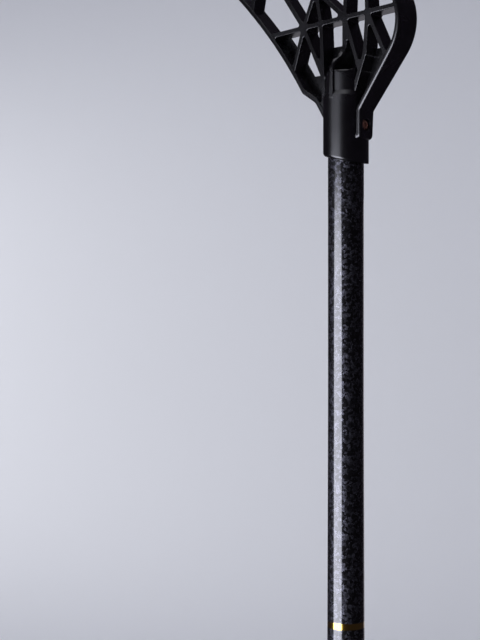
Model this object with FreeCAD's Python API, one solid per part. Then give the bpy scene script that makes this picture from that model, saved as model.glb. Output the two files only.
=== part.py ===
"""Floorball stick, standing on its butt end with the blade up.

Millimetres. The origin is the middle of the butt end's flat face, +Z runs up the shaft, the heel of
the blade is on +X, its toe on -X, and the toe hooks towards +Y.
"""

import FreeCAD, Part
import math
import os
from FreeCAD import Vector

# Shaft: a carbon tube, slim at the blade and thicker at the handle
SHAFT_LENGTH = 960.0
SHAFT_TIP_DIA = 24.0
SHAFT_HANDLE_DIA = 26.5
SHAFT_WALL = 1.3
SHAFT_TIP_STRAIGHT = 220.0
SHAFT_TAPER = 400.0

# Grip: a wrap wound on the handle, pressed thin at its upper end
GRIP_LENGTH = 300.0
GRIP_THICKNESS = 1.7
GRIP_TAIL = 12.0
GRIP_TAIL_THICKNESS = 0.6
FILM_GAP = 0.05

# Finishing tape over the wrap's thin tail
BAND_THICKNESS = 0.3
BAND_OVER_SHAFT = 10.0

# End cap: a plug with a head about as wide as the grip
CAP_HEAD = 5.0
CAP_INSET = 0.3
CAP_EDGE = 1.5
CAP_STEM_LENGTH = 34.0
CAP_STEM_WALL = 2.0
CAP_STEM_GAP = 0.05

# Neck of the blade: a socket for the shaft, its mouth cut at a slant
SOCKET_DEPTH = 56.0
SOCKET_GAP = 0.15
SOCKET_FLOOR = 3.0
COLLAR_DIA = 30.5
COLLAR_LENGTH = 42.0
NECK_STEP = 3.0
NECK_DIA = 27.4
MOUTH_TILT = 13.2
SPINE_X = -0.4
SPINE_WIDTH = 4.0
SPINE_PROUD = 0.2
SPINE_FLARE = 17.0

# Outline of the blade, measured from the middle of the socket's mouth
LIE_ANGLE = 60.0
FLOOR_DISTANCE = 118.0
TOE_REACH = 279.0
HEEL_SLOPE = 36.5
HEEL_RADIUS = 35.0
TOE_HEIGHT = 52.0
TOE_FLOOR_RADIUS = 30.0
TOE_TOP_RADIUS = 17.0
TOP_SLOPE = 33.0
TOP_RADIUS = 375.0
KNEE_X = -34.9
KNEE_Z = 48.0
KNEE_RADIUS = 5.0
JOG_X = -23.0
JOG_Z = 40.3
JOG_RADIUS = 9.0
THROAT_Z = 29.5
LEG_X = 18.0
LEG_BOTTOM = 12.4
LEG_TOP = 31.2
LEG_RADIUS = 3.0

# Section of the blade: a deep rim round a thinner lattice, curved towards the toe
RIM_WIDTH = 3.6
RIM_FRONT = -6.5
RIM_BACK = 4.7
BACK_LEAN = 4.2
RIB_WIDTH = 3.3
RIB_FRONT = -5.8
RIB_BACK = 5.8
RIB_CORNER_RADIUS = 1.2
TOE_THINNING = 5.0
HOOK_START = 105.0
HOOK_RADIUS = 900.0
WEB_WIDTH = 5.4
WEB_THICKNESS = 2.2
TOE_FORK_Z = 60.5
MIDDLE_FORK_Z = 78.0
HEEL_FORK_Z = 72.0

# Lattice below the cross rib: where its ribs start and end, from the middle of the socket's mouth
CROSS_RIB_Z = 94.0
CROSS_RIB_TILT = 2.0
TOE_NODE_X = -33.5
SPINE_NODE_X = -17.6
NECK_NODE_X = 3.6
HEEL_NODE_X = 23.1
TOE_STRUT_X = -44.5
TOE_STRUT_Z = 60.5
TOE_BRACE_X = -15.6
TOE_BRACE_Z = 57.0
TOE_POST_X = -14.9
TOE_POST_Z = 38.0
NECK_BRACE_X = 16.4
NECK_BRACE_Z = 58.0
HEEL_BEND_X = 21.0
HEEL_BEND_Z = 68.6
HEEL_POST_X = 12.0
HEEL_POST_Z = 46.0
HEEL_STRUT_X = 40.5
HEEL_STRUT_Z = 60.5

# Lattice between the cross rib and the toe, by length along the floor edge and height over it
KEEL_NODE_ALONG = 78.0
KEEL_NODE_HEIGHT = 28.0
KEEL_PEAK_ALONG = 124.0
KEEL_PEAK_HEIGHT = 26.5
HEEL_POST_HEAD = 43.3
NECK_POST_HEAD = 61.7
KEEL_POST_HEAD = 99.5
FIRST_BAY = 132.0
BAY_LEAN = 17.0
BAY_COUNT = 4
MID_RIB_HEIGHT = 26.0
RIB_RUN_ON = 0.3

# Screw through the leg into the shaft
SCREW_Z = 22.0
SCREW_HEAD_DIA = 6.8
SCREW_HEAD_HEIGHT = 2.3
SCREW_DIA = 3.4
SCREW_LENGTH = 9.5
SCREW_HOLE_GAP = 0.15
SCREW_POCKET_GAP = 0.5
SCREW_POCKET_DEPTH = 3.0
DRIVE_WIDTH = 0.9
DRIVE_SPAN = 3.8
DRIVE_DEPTH = 1.4

MOUTH_Z = CAP_HEAD + SHAFT_LENGTH - SOCKET_DEPTH
TIP_RADIUS = SHAFT_TIP_DIA / 2
HANDLE_RADIUS = SHAFT_HANDLE_DIA / 2
GRIP_RADIUS = HANDLE_RADIUS + GRIP_THICKNESS
GRIP_TOP = CAP_HEAD + GRIP_LENGTH
COLLAR_RADIUS = COLLAR_DIA / 2
NECK_RADIUS = NECK_DIA / 2
NECK_TOP = SOCKET_DEPTH + SOCKET_FLOOR
SCREW_SEAT_X = LEG_X - SCREW_POCKET_DEPTH
BAY_LENGTH = (TOE_REACH - FIRST_BAY) / BAY_COUNT
ALONG_X = Vector(1, 0, 0)
ALONG_Y = Vector(0, 1, 0)
UP = Vector(0, 0, 1)
ORIGIN = Vector(0, 0, 0)

# Directions of the floor edge, as the stick is played: towards the toe, and down to the floor
LIE = math.radians(LIE_ANGLE)
TO_TOE = Vector(-math.sin(LIE), 0, math.cos(LIE))
TO_FLOOR = Vector(math.cos(LIE), 0, math.sin(LIE))

# How far tools run past the blade at its ends, and half the depth of one that cuts right through it
BLADE_MARGIN = 2 * COLLAR_DIA
THROUGH = BLADE_MARGIN + HOOK_RADIUS - math.sqrt(HOOK_RADIUS**2 - (TOE_REACH - HOOK_START) ** 2)


def revolved(profile):
    """Solid of revolution about Z from a closed profile of (radius, z) corners."""
    points = [Vector(r, 0, z) for r, z in profile]
    return Part.Face(Part.makePolygon(points + points[:1])).revolve(ORIGIN, UP, 360)


def over_floor(along, height):
    """Point of the blade's middle plane, by its length along the floor edge and height over it."""
    return TO_TOE * along + TO_FLOOR * (FLOOR_DISTANCE - height)


def leaning(x, z, slope, rise):
    """Point of the line that leaves (x, z) slope degrees from the shaft, once it has risen so far."""
    return Vector(x + rise * math.tan(math.radians(slope)), 0, z + rise)


def crossing(a, b, c, d):
    """Where the line through a and b meets the line through c and d, in the middle plane."""
    ab = b - a
    cd = d - c
    share = ((c.x - a.x) * cd.z - (c.z - a.z) * cd.x) / (ab.x * cd.z - ab.z * cd.x)
    return a + ab * share


def rounded_outline(corners):
    """Closed wire through corners (point, radius), each rounded as far as its two sides leave room."""
    count = len(corners)
    points = [point for point, radius in corners]
    sides = [points[(i + 1) % count] - points[i] for i in range(count)]
    turns = [sides[i - 1].getAngle(sides[i]) for i in range(count)]
    tangents = [corners[i][1] * math.tan(turns[i] / 2) for i in range(count)]
    shares = []
    for i in range(count):
        both = tangents[i] + tangents[(i + 1) % count]
        shares.append(min(1.0, 0.99 * sides[i].Length / both) if both > 0 else 1.0)
    starts = []
    ends = []
    for i in range(count):
        reach = tangents[i] * min(shares[i - 1], shares[i])
        starts.append(points[i] - sides[i - 1] * (reach / sides[i - 1].Length))
        ends.append(points[i] + sides[i] * (reach / sides[i].Length))
    edges = []
    for i in range(count):
        if tangents[i] > 0:
            chord_middle = (starts[i] + ends[i]) * 0.5
            to_corner = points[i] - chord_middle
            bulge = math.tan(turns[i] / 4) / math.tan(turns[i] / 2)
            edges.append(Part.Arc(starts[i], chord_middle + to_corner * bulge, ends[i]).toShape())
        edges.append(Part.LineSegment(ends[i], starts[(i + 1) % count]).toShape())
    return Part.Wire(edges)


def blade_outline():
    """Outer edge of the blade: leg, heel, floor edge, toe, top edge, knee and throat."""
    leg_top = Vector(LEG_X, 0, LEG_TOP)
    heel_line = leaning(LEG_X, LEG_TOP, HEEL_SLOPE, 1)
    heel = crossing(leg_top, heel_line, over_floor(0, 0), over_floor(1, 0))
    knee = Vector(KNEE_X, 0, KNEE_Z)
    top_line = leaning(KNEE_X, KNEE_Z, -TOP_SLOPE, 1)
    top_bend = crossing(knee, top_line, over_floor(0, TOE_HEIGHT), over_floor(1, TOE_HEIGHT))
    return rounded_outline([
        (Vector(0, 0, LEG_BOTTOM), 0),
        (Vector(LEG_X, 0, LEG_BOTTOM), LEG_RADIUS),
        (leg_top, LEG_RADIUS),
        (heel, HEEL_RADIUS),
        (over_floor(TOE_REACH, 0), TOE_FLOOR_RADIUS),
        (over_floor(TOE_REACH, TOE_HEIGHT), TOE_TOP_RADIUS),
        (top_bend, TOP_RADIUS),
        (knee, KNEE_RADIUS),
        (Vector(JOG_X, 0, JOG_Z), JOG_RADIUS),
        (Vector(-COLLAR_RADIUS, 0, THROAT_Z), 0),
        (Vector(0, 0, THROAT_Z), 0),
    ])


def through(face):
    """Prism of a face in the middle plane, deeper than the blade on both sides."""
    prism = face.extrude(ALONG_Y * (2 * THROUGH))
    prism.translate(ALONG_Y * -THROUGH)
    return prism


def hook(along):
    """How far the blade's faces stand off towards +Y at a length along the floor edge."""
    past = max(0.0, along - HOOK_START)
    return HOOK_RADIUS - math.sqrt(HOOK_RADIUS**2 - past**2)


def curved_slab(front, back, lean=0.0):
    """Space between two faces of the blade: flat at heel and neck, hooked and thinner at the toe.

    Both faces lean back by so many degrees from the mouth down to the floor edge.
    """
    first = -BLADE_MARGIN
    last = TOE_REACH + BLADE_MARGIN
    middle = (HOOK_START + last) / 2
    down = TO_FLOOR + ALONG_Y * math.tan(math.radians(lean))

    def at(along, y):
        return TO_TOE * along + ALONG_Y * y - down * BLADE_MARGIN

    def bowed(y, thinning):
        stations = [(HOOK_START, 0.0), (middle, thinning / 2), (last, thinning)]
        return Part.Arc(*[at(along, y + hook(along) - less) for along, less in stations]).toShape()

    front_toe = at(last, front + hook(last))
    back_toe = at(last, back + hook(last) - TOE_THINNING)
    face = Part.Face(Part.Wire([
        Part.LineSegment(at(first, front), at(HOOK_START, front)).toShape(),
        bowed(front, 0.0),
        Part.LineSegment(front_toe, back_toe).toShape(),
        bowed(back, TOE_THINNING),
        Part.LineSegment(at(HOOK_START, back), at(first, back)).toShape(),
        Part.LineSegment(at(first, back), at(first, front)).toShape(),
    ]))
    return face.extrude(down * (FLOOR_DISTANCE + 2 * BLADE_MARGIN))


def strip(start, end, width):
    """Flat strip along a line in the middle plane, run on past both ends by half its width."""
    run = end - start
    along = run * (width / 2 / run.Length)
    across = along.cross(ALONG_Y)
    corners = [start - along - across, end + along - across, end + along + across, start - along + across]
    return Part.Face(Part.makePolygon(corners + corners[:1]))


def from_mouth(x, z):
    """Point of the middle plane."""
    return Vector(x, 0, z)


def on_cross_rib(x):
    """Point of the cross rib's middle line."""
    return Vector(x, 0, CROSS_RIB_Z + x * math.tan(math.radians(CROSS_RIB_TILT)))


def spine_points():
    """Middle line of the spine: from the cross rib down beside the neck, then onto the collar."""
    flare = NECK_TOP + SPINE_FLARE
    return [
        on_cross_rib(NECK_NODE_X),
        Vector(NECK_NODE_X, 0, flare),
        Vector(SPINE_X, 0, NECK_TOP),
        Vector(SPINE_X, 0, COLLAR_LENGTH),
    ]


def rib_lines():
    """Middle lines of the lattice: a cross rib over the neck, a fan below it and a truss to the toe."""
    toe_node = on_cross_rib(TOE_NODE_X)
    post_node = on_cross_rib(SPINE_NODE_X)
    neck_node = on_cross_rib(NECK_NODE_X)
    heel_node = on_cross_rib(HEEL_NODE_X)
    keel_node = over_floor(KEEL_NODE_ALONG, KEEL_NODE_HEIGHT)
    keel_peak = over_floor(KEEL_PEAK_ALONG, KEEL_PEAK_HEIGHT)
    keel_head = over_floor(KEEL_POST_HEAD, 0)
    neck_head = over_floor(NECK_POST_HEAD, 0)
    heel_bend = from_mouth(HEEL_BEND_X, HEEL_BEND_Z)
    long_node = over_floor(FIRST_BAY + BAY_LEAN / 2, MID_RIB_HEIGHT)
    spine = spine_points()
    lines = [
        (on_cross_rib(-TOE_REACH), on_cross_rib(TOE_REACH)),
        (toe_node, from_mouth(TOE_STRUT_X, TOE_STRUT_Z)),
        (toe_node, from_mouth(TOE_BRACE_X, TOE_BRACE_Z)),
        (post_node, from_mouth(TOE_POST_X, TOE_POST_Z)),
        (neck_node, from_mouth(NECK_BRACE_X, NECK_BRACE_Z)),
        (heel_node, heel_bend),
        (heel_bend, from_mouth(HEEL_POST_X, HEEL_POST_Z)),
        (heel_node, from_mouth(HEEL_STRUT_X, HEEL_STRUT_Z)),
        (spine[0], spine[1]),
        (toe_node, keel_node),
        (post_node, keel_node),
        (neck_node, keel_node),
        (keel_node, keel_head),
        (keel_node, neck_head),
        (neck_node, neck_head),
        (heel_node, over_floor(HEEL_POST_HEAD, 0)),
        (toe_node, long_node),
        (keel_node, long_node),
        (long_node, over_floor(TOE_REACH, MID_RIB_HEIGHT)),
        (keel_head, keel_peak),
        (keel_peak, over_floor(FIRST_BAY + BAY_LEAN, 0)),
    ]
    for bay in range(BAY_COUNT):
        top = over_floor(FIRST_BAY + bay * BAY_LENGTH, TOE_HEIGHT)
        floor = over_floor(FIRST_BAY + bay * BAY_LENGTH + BAY_LEAN, 0)
        next_top = over_floor(FIRST_BAY + (bay + 1) * BAY_LENGTH, TOE_HEIGHT)
        lines += [(top + (top - floor) * RIB_RUN_ON, floor), (floor, next_top)]
    return lines


def windows(field):
    """Openings between the ribs. Those about the cross rib have rounded corners, slivers stay closed."""
    strips = [strip(start, end, RIB_WIDTH) for start, end in rib_lines()]
    openings = []
    for opening in field.cut(strips).Faces:
        if 2 * opening.Area < RIB_WIDTH * opening.Length / 2:
            continue
        if opening.BoundBox.ZMin < CROSS_RIB_Z + 2 * RIB_WIDTH:
            opening = opening.makeOffset2D(-RIB_CORNER_RADIUS).makeOffset2D(RIB_CORNER_RADIUS)
        openings += opening.Faces
    return openings


def blade_lattice(outline):
    """Ribs that fill the rim: a plate with the openings cut out, a little thinner than the rim."""
    plate = through(outline.makeOffset2D(-RIM_WIDTH / 2))
    openings = [through(opening) for opening in windows(outline.makeOffset2D(-RIM_WIDTH))]
    return plate.cut(openings).common(curved_slab(RIB_FRONT, RIB_BACK))


def blade_rim(outline):
    """Deep band round the blade. Its back leans away, so it is deepest along the floor edge."""
    band = through(outline.cut(outline.makeOffset2D(-RIM_WIDTH)))
    front_side = curved_slab(RIM_FRONT, RIM_BACK + COLLAR_DIA)
    back_side = curved_slab(RIM_FRONT - COLLAR_DIA, RIM_BACK, BACK_LEAN)
    return band.common(front_side).common(back_side)


def rectangle(x_low, x_high, z_low, z_high):
    """Upright rectangular face in the middle plane."""
    corners = [(x_low, z_low), (x_high, z_low), (x_high, z_high), (x_low, z_high), (x_low, z_low)]
    return Part.Face(Part.makePolygon([from_mouth(x, z) for x, z in corners]))


def fork_web(outline):
    """Thin web that closes the forks between neck and rim, flush with the backs of the ribs."""
    field = outline.makeOffset2D(-RIM_WIDTH / 2)
    clear = outline.makeOffset2D(-RIM_WIDTH - WEB_WIDTH)
    spans = [
        (-TOE_REACH, TOE_POST_X, CROSS_RIB_Z),
        (TOE_POST_X, SPINE_X, MIDDLE_FORK_Z),
        (SPINE_X, TOE_REACH, HEEL_FORK_Z),
    ]
    toe_opening = clear.common(rectangle(-TOE_REACH, TOE_POST_X, TOE_FORK_Z, TOE_REACH))
    layer = curved_slab(RIB_BACK - WEB_THICKNESS, RIB_BACK)
    webs = []
    for x_low, x_high, top in spans:
        fork = field.common(rectangle(x_low, x_high, LEG_BOTTOM, top)).cut(toe_opening)
        webs += [through(face).common(layer) for face in fork.Faces]
    return webs


def neck():
    """Socket for the shaft: a collar with a slanting mouth and a slimmer neck above it."""
    tube = revolved([
        (0, -COLLAR_RADIUS),
        (COLLAR_RADIUS, -COLLAR_RADIUS),
        (COLLAR_RADIUS, COLLAR_LENGTH),
        (NECK_RADIUS, COLLAR_LENGTH + NECK_STEP),
        (NECK_RADIUS, NECK_TOP),
        (0, NECK_TOP),
    ])
    saw_corner = Vector(-COLLAR_DIA, -COLLAR_DIA, -COLLAR_DIA)
    saw = Part.makeBox(2 * COLLAR_DIA, 2 * COLLAR_DIA, COLLAR_DIA, saw_corner)
    saw.rotate(ORIGIN, ALONG_Y, MOUTH_TILT)
    return tube.cut(saw)


def sweep(start, end):
    """Two equal arcs that leave start and reach end along Z, between points of one plane across X."""
    middle = (start + end) * 0.5
    half = middle - start
    radius = half.Length**2 / (2 * abs(half.y))
    turn = math.acos(1 - abs(half.y) / radius)
    edges = []
    for point, away in ((start, half), (end, -half)):
        side = math.copysign(radius * (1 - math.cos(turn / 2)), away.y)
        rise = math.copysign(radius * math.sin(turn / 2), away.z)
        edges.append(Part.Arc(point, point + Vector(0, side, rise), middle).toShape())
    return edges


def spine():
    """Web on the neck's front and back that sweeps from the lattice's depth out to the collar's."""
    proud = COLLAR_RADIUS + SPINE_PROUD
    flare = NECK_TOP + SPINE_FLARE
    low = COLLAR_LENGTH - NECK_STEP

    def at(y, z):
        return Vector(-COLLAR_RADIUS, y, z)

    def side(edge, rib):
        collar_edge = Part.LineSegment(at(edge, low), at(edge, NECK_TOP)).toShape()
        rib_edge = Part.LineSegment(at(rib, flare), at(rib, CROSS_RIB_Z)).toShape()
        return [collar_edge, *sweep(at(edge, NECK_TOP), at(rib, flare)), rib_edge]

    foot = Part.LineSegment(at(-proud, low), at(proud, low)).toShape()
    head = Part.LineSegment(at(RIB_FRONT, CROSS_RIB_Z), at(RIB_BACK, CROSS_RIB_Z)).toShape()
    edges = Part.sortEdges([foot, head, *side(-proud, RIB_FRONT), *side(proud, RIB_BACK)])[0]
    profile = Part.Face(Part.Wire(edges)).extrude(ALONG_X * COLLAR_DIA)
    line = spine_points()
    webs = [through(strip(line[i], line[i + 1], SPINE_WIDTH)) for i in range(len(line) - 1)]
    return webs[0].multiFuse(webs[1:]).common(profile)


def screw_bore(radius, start, end):
    """Cylinder on the screw's axis between two X positions, at the blade's own height."""
    return Part.makeCylinder(radius, end - start, Vector(start, 0, SCREW_Z), ALONG_X)


def make_blade():
    """The whole moulding, in its place on the shaft."""
    outline = Part.Face(blade_outline())
    blade = blade_rim(outline).multiFuse([blade_lattice(outline), *fork_web(outline), neck(), spine()])
    socket = Part.makeCylinder(TIP_RADIUS + SOCKET_GAP, SOCKET_DEPTH + COLLAR_DIA, UP * -COLLAR_DIA)
    pocket = screw_bore(SCREW_HEAD_DIA / 2 + SCREW_POCKET_GAP, SCREW_SEAT_X, LEG_X + COLLAR_RADIUS)
    hole = screw_bore(SCREW_DIA / 2 + SCREW_HOLE_GAP, 0, LEG_X)
    for tool in (socket, pocket, hole):
        blade = blade.cut(tool)
    blade.translate(UP * MOUTH_Z)
    return blade


def make_shaft():
    """Tube with a straight tip, a taper and a straight handle, drilled for the screw."""
    bottom = CAP_HEAD
    top = bottom + SHAFT_LENGTH
    taper_top = top - SHAFT_TIP_STRAIGHT
    taper_bottom = taper_top - SHAFT_TAPER
    tube = revolved([
        (HANDLE_RADIUS - SHAFT_WALL, bottom),
        (HANDLE_RADIUS, bottom),
        (HANDLE_RADIUS, taper_bottom),
        (TIP_RADIUS, taper_top),
        (TIP_RADIUS, top),
        (TIP_RADIUS - SHAFT_WALL, top),
        (TIP_RADIUS - SHAFT_WALL, taper_top),
        (HANDLE_RADIUS - SHAFT_WALL, taper_bottom),
    ])
    hole = screw_bore(SCREW_DIA / 2 + SCREW_HOLE_GAP, 0, COLLAR_RADIUS)
    hole.translate(UP * MOUTH_Z)
    return tube.cut(hole)


def make_screw():
    """Pan-head screw with a cross drive, pointing at the shaft's axis."""
    head = SCREW_HEAD_DIA / 2
    shank = SCREW_DIA / 2
    dome = SCREW_HEAD_HEIGHT / 2
    screw = revolved([
        (0, -SCREW_LENGTH),
        (shank, -SCREW_LENGTH),
        (shank, 0),
        (head, 0),
        (head, dome),
        (head - dome, SCREW_HEAD_HEIGHT),
        (0, SCREW_HEAD_HEIGHT),
    ])
    for length, width in ((DRIVE_SPAN, DRIVE_WIDTH), (DRIVE_WIDTH, DRIVE_SPAN)):
        corner = Vector(-length / 2, -width / 2, SCREW_HEAD_HEIGHT - DRIVE_DEPTH)
        screw = screw.cut(Part.makeBox(length, width, SCREW_HEAD_HEIGHT, corner))
    screw.rotate(ORIGIN, ALONG_Y, 90)
    screw.translate(Vector(SCREW_SEAT_X, 0, MOUTH_Z + SCREW_Z))
    return screw


def make_grip():
    """Wrap on the handle with a thin tail at its upper end."""
    inner = HANDLE_RADIUS + FILM_GAP
    tail = HANDLE_RADIUS + GRIP_TAIL_THICKNESS
    return revolved([
        (inner, CAP_HEAD),
        (GRIP_RADIUS, CAP_HEAD),
        (GRIP_RADIUS, GRIP_TOP - GRIP_TAIL),
        (tail, GRIP_TOP - GRIP_TAIL),
        (tail, GRIP_TOP),
        (inner, GRIP_TOP),
    ])


def make_band():
    """Finishing tape: it holds the wrap's tail down and runs out on the shaft."""
    tail = HANDLE_RADIUS + GRIP_TAIL_THICKNESS + FILM_GAP
    shaft = HANDLE_RADIUS + FILM_GAP
    low = GRIP_TOP - GRIP_TAIL
    high = GRIP_TOP + BAND_OVER_SHAFT
    return revolved([
        (tail, low),
        (tail + BAND_THICKNESS, low),
        (tail + BAND_THICKNESS, high),
        (shaft, high),
        (shaft, GRIP_TOP + FILM_GAP),
        (tail, GRIP_TOP + FILM_GAP),
    ])


def make_cap():
    """Plug: a head against the end of the tube and a hollow stem pressed into it."""
    head = GRIP_RADIUS - CAP_INSET
    stem = HANDLE_RADIUS - SHAFT_WALL - CAP_STEM_GAP
    hollow = stem - CAP_STEM_WALL
    top = CAP_HEAD + CAP_STEM_LENGTH
    return revolved([
        (0, 0),
        (head - CAP_EDGE, 0),
        (head, CAP_EDGE),
        (head, CAP_HEAD),
        (stem, CAP_HEAD),
        (stem, top),
        (hollow, top),
        (hollow, CAP_HEAD),
        (0, CAP_HEAD),
    ])


PIECES = {
    "blade": make_blade,
    "blade_screw": make_screw,
    "shaft": make_shaft,
    "grip": make_grip,
    "grip_band": make_band,
    "end_cap": make_cap,
}
os.makedirs("parts", exist_ok=True)
for name, make in PIECES.items():
    piece = make()
    print(name, len(piece.Solids), "solid", piece.isValid(), round(piece.Volume), "mm3")
    piece.exportStep(os.path.join("parts", name + ".step"))
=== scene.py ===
"""Studio picture of a floorball stick that stands on its butt end with the blade up."""

import logging
import math
from dataclasses import dataclass, field
from enum import Enum

import bmesh
import bpy
import numpy as np
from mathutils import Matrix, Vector
from mathutils.bvhtree import BVHTree
from mathutils.interpolate import poly_3d_calc


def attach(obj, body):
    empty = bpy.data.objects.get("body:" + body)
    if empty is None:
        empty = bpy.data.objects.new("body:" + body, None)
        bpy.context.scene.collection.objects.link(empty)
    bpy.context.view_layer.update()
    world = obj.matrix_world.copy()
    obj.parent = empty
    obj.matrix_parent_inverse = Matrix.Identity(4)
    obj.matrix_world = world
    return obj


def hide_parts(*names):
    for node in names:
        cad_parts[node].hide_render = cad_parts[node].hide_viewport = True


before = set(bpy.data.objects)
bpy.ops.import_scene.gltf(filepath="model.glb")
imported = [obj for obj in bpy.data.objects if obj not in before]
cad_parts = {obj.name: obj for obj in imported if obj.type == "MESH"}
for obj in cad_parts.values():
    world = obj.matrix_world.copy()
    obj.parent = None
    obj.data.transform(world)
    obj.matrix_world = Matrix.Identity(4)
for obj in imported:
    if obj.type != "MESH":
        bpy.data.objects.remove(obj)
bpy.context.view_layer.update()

MM = 0.001
BODY = "root"
CREASE = math.radians(50)
Span = tuple[float, float]
Point = tuple[float, float, float]
log = logging.getLogger("floorball_stick")


class Mirrored(Enum):
    """Whether glossy surfaces show a lamp or a part of the stage."""

    YES = True
    NO = False


def linear(colour: str) -> tuple[float, float, float, float]:
    """Linear RGBA of an sRGB colour, by the sRGB standard's formula.

    Args:
        colour: "#" and six hex digits.

    Returns:
        Red, green, blue and an alpha of 1.
    """
    srgb = np.array([int(colour[i:i + 2], 16) for i in (1, 3, 5)]) / 255
    values = np.where(srgb <= 0.04045, srgb / 12.92, ((srgb + 0.055) / 1.055) ** 2.4)
    return (*values.tolist(), 1.0)


def add_node(tree: bpy.types.NodeTree, kind: str, inputs: dict[str | int, object] | None = None,
             **settings: object) -> bpy.types.Node:
    """Adds a shader node.

    Args:
        tree: the material's node tree.
        kind: the node's type name.
        inputs: sockets by name or number, each with a constant or with another node's output.
        settings: the node's own properties.

    Returns:
        The new node.
    """
    node = tree.nodes.new(kind)
    for name, value in settings.items():
        setattr(node, name, value)
    for key, value in (inputs or {}).items():
        if isinstance(value, bpy.types.NodeSocket):
            tree.links.new(value, node.inputs[key])
        else:
            node.inputs[key].default_value = value
    return node


def new_material(name: str) -> tuple[bpy.types.Material, bpy.types.NodeTree]:
    """Starts a node material.

    Args:
        name: what the real material is.

    Returns:
        The material and its emptied tree.
    """
    material = bpy.data.materials.new(name)
    material.use_nodes = True
    material.node_tree.nodes.clear()
    return material, material.node_tree


@dataclass(frozen=True)
class MouldedPolyethylene:
    """Injection-moulded polyethylene: deep black with a satin, finely eroded skin and faint flow marks."""

    name: str = "moulded_polyethylene_black"
    dark: str = "#0a080c"
    light: str = "#110e14"
    flow_mm: float = 30.0
    flow_bend: float = 0.6
    flow_span: Span = (0.3, 0.7)
    # A mould's eroded grain is finer than a pixel, so it is drawn as coarse as it needs to show.
    grain_mm: float = 0.5
    grain_depth_mm: float = 0.02
    grain_strength: float = 0.12
    roughness: Span = (0.23, 0.3)
    ior: float = 1.51

    def build(self) -> bpy.types.Material:
        """Makes the material: slow noise sets colour and gloss, fine noise raises the grain.

        Returns:
            The material.
        """
        material, tree = new_material(self.name)
        place = add_node(tree, "ShaderNodeTexCoord").outputs["Object"]
        flow = add_node(tree, "ShaderNodeTexNoise", {
            "Vector": place, "Scale": 1 / (self.flow_mm * MM), "Detail": 4.0, "Distortion": self.flow_bend})
        grain = add_node(tree, "ShaderNodeTexNoise", {
            "Vector": place, "Scale": 1 / (self.grain_mm * MM), "Detail": 2.0})
        colour = add_node(tree, "ShaderNodeMix", {
            0: flow.outputs["Fac"], 6: linear(self.dark), 7: linear(self.light)}, data_type="RGBA")
        rough = add_node(tree, "ShaderNodeMapRange", {
            "Value": flow.outputs["Fac"], "From Min": self.flow_span[0], "From Max": self.flow_span[1],
            "To Min": self.roughness[0], "To Max": self.roughness[1]})
        bump = add_node(tree, "ShaderNodeBump", {
            "Height": grain.outputs["Fac"], "Strength": self.grain_strength,
            "Distance": self.grain_depth_mm * MM})
        shader = add_node(tree, "ShaderNodeBsdfPrincipled", {
            "Base Color": colour.outputs[2], "Roughness": rough.outputs["Result"],
            "IOR": self.ior, "Normal": bump.outputs["Normal"]})
        add_node(tree, "ShaderNodeOutputMaterial", {"Surface": shader.outputs["BSDF"]})
        return material


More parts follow.
